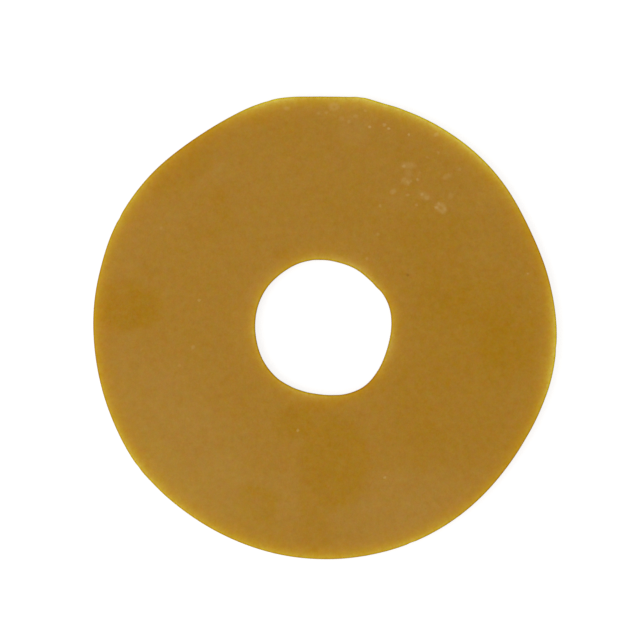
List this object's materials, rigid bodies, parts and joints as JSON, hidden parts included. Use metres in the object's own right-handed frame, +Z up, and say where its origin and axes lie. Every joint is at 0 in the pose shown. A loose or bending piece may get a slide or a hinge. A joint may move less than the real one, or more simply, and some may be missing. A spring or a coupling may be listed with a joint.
{
  "type": "flush pipe washer",
  "caption": "Flat amber gum rubber washer, hand cut from sheet, with a round hole that stretches over a cistern's flush pipe.",
  "frame": {"origin": "the disc's centre on its lower face", "axes": "+Z up through the thickness; seen from above, +X is the picture's right and +Y its top"},
  "size_m": [0.0852, 0.0851, 0.003],
  "materials": {
    "gum_rubber": "matte"
  },
  "bodies": {
    "root": {"washer": "gum_rubber"}
  },
  "joints": []
}
